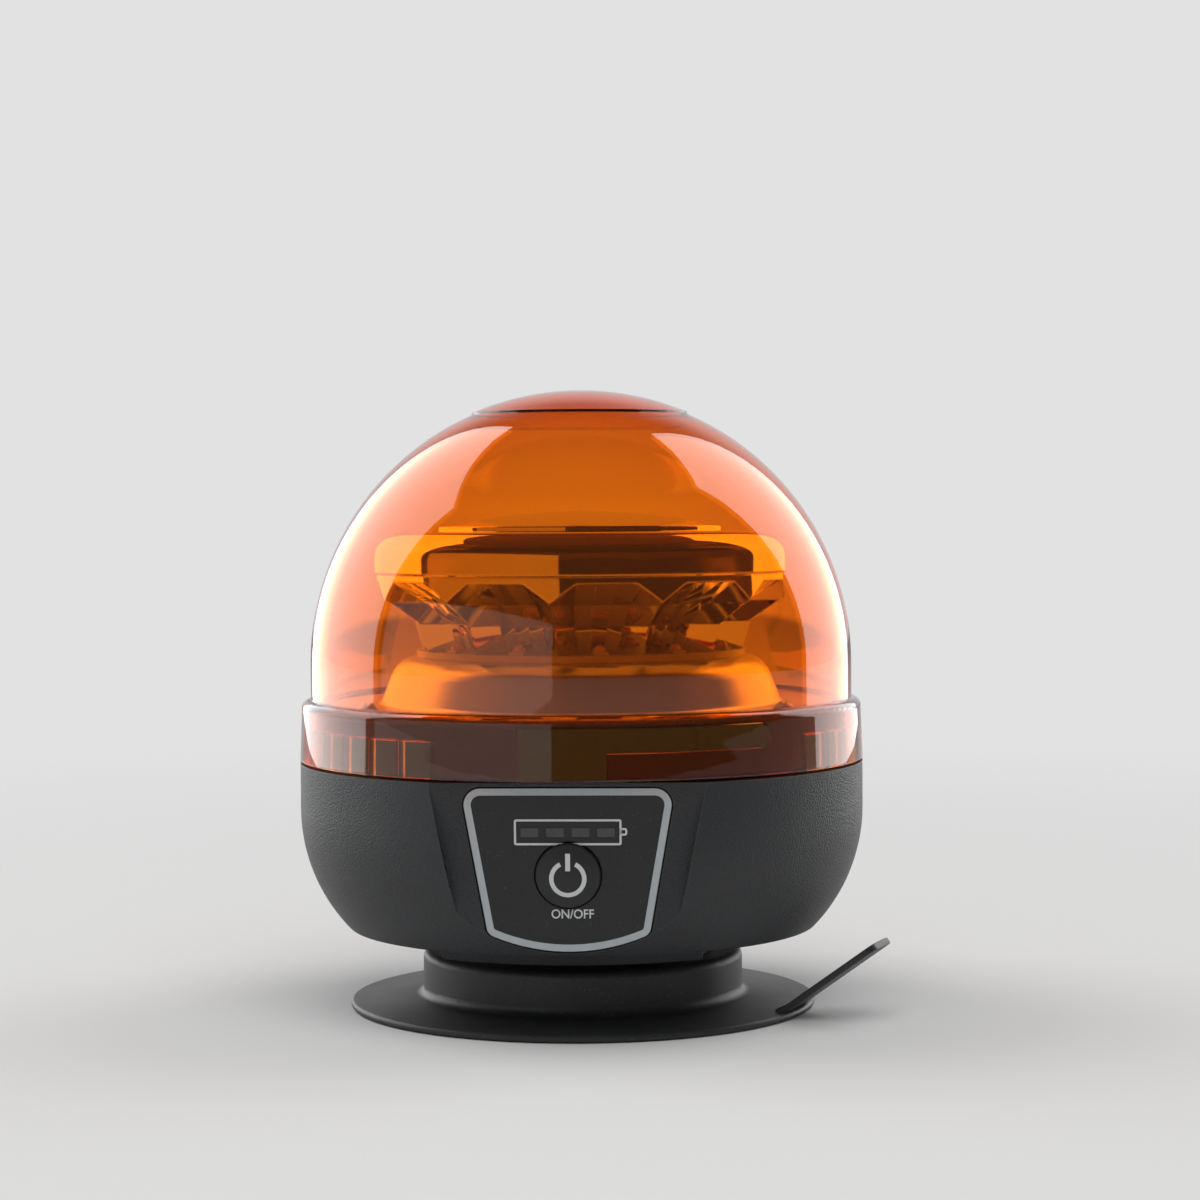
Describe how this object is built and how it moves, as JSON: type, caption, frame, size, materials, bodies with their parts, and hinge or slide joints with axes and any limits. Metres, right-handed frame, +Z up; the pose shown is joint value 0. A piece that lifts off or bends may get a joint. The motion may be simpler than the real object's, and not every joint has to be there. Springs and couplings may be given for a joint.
{
  "type": "portable warning beacon",
  "caption": "Amber dome beacon on a black bowl base with a front button panel, bayonet lens, mirror crown and a magnetic rubber foot with a lift tab.",
  "frame": {"origin": "centre of the flat underside of the rubber foot", "axes": "+Z up through the dome, -Y out of the front panel, +X to the right of someone facing the panel"},
  "size_m": [0.1355, 0.1313, 0.142],
  "materials": {
    "amber_lens": "clear amber polycarbonate, polished",
    "black_plastic": "fine spark-eroded grain",
    "panel_black": "smooth satin film with grey print",
    "button_rubber": "soft silicone key",
    "smoke_window": "smoky translucent light guide",
    "black_rubber": "smooth satin rubber",
    "mirror": "vacuum metallised",
    "satin_metal": "satin",
    "board_white": "white solder mask",
    "board_green": "green solder mask",
    "led_body": "clear dome over phosphor",
    "component_black": "moulded component",
    "steel": "zinc plated",
    "ferrite": "sintered",
    "cell_wrap": "shrink sleeve",
    "contact": "sprung strip"
  },
  "bodies": {
    "base": {"lens_seal": "black_rubber", "base_housing": "black_plastic", "chassis": "black_plastic", "chassis_screws": "steel", "heat_sink": "satin_metal", "heat_sink_screws": "steel", "led_board": "board_white", "leds": "led_body", "reflector_crown": "mirror", "reflector_cap": "mirror", "crown_screws": "steel", "control_panel": "panel_black", "charge_light_guide": "smoke_window", "control_board": "board_green", "control_board_screws": "steel", "button_switch": "component_black", "charge_leds": "led_body", "driver_board": "board_green", "driver_parts": "component_black", "driver_screws": "steel", "battery_cradle": "black_plastic", "battery_cells": "cell_wrap", "battery_contacts": "contact", "cradle_screws": "steel", "charge_socket": "component_black", "socket_nut": "steel", "flap_pin": "steel", "magnet_cup": "steel", "ring_magnet": "ferrite", "magnet_bolt": "steel", "bolt_washer": "steel", "rubber_boot": "black_rubber"},
    "lens": {"lens_dome": "amber_lens"},
    "button": {"power_button": "button_rubber"},
    "flap": {"port_flap": "black_rubber"},
    "tab": {"lift_tab": "black_rubber"}
  },
  "joints": [
    {"name": "lens_turn", "type": "hinge", "parent": "base", "child": "lens", "pos_m": [0, 0, 0.0653], "axis": [0, 0, 1], "range_deg": [0, 35]},
    {"name": "button_press", "type": "slide", "parent": "base", "child": "button", "axis": [0, 0.9976, 0.0698], "range_m": [0, 0.0008], "stiffness_N_per_m": 1500},
    {"name": "flap_swing", "type": "hinge", "parent": "base", "child": "flap", "pos_m": [0, 0.0638, 0.05], "axis": [1, 0, 0], "range_deg": [0, 100]},
    {"name": "tab_flex", "type": "hinge", "parent": "base", "child": "tab", "pos_m": [0.04943, -0.01799, 0.00273], "axis": [-0.342, -0.9397, 0], "range_deg": [-20, 20], "stiffness_Nm_per_rad": 0.05}
  ]
}
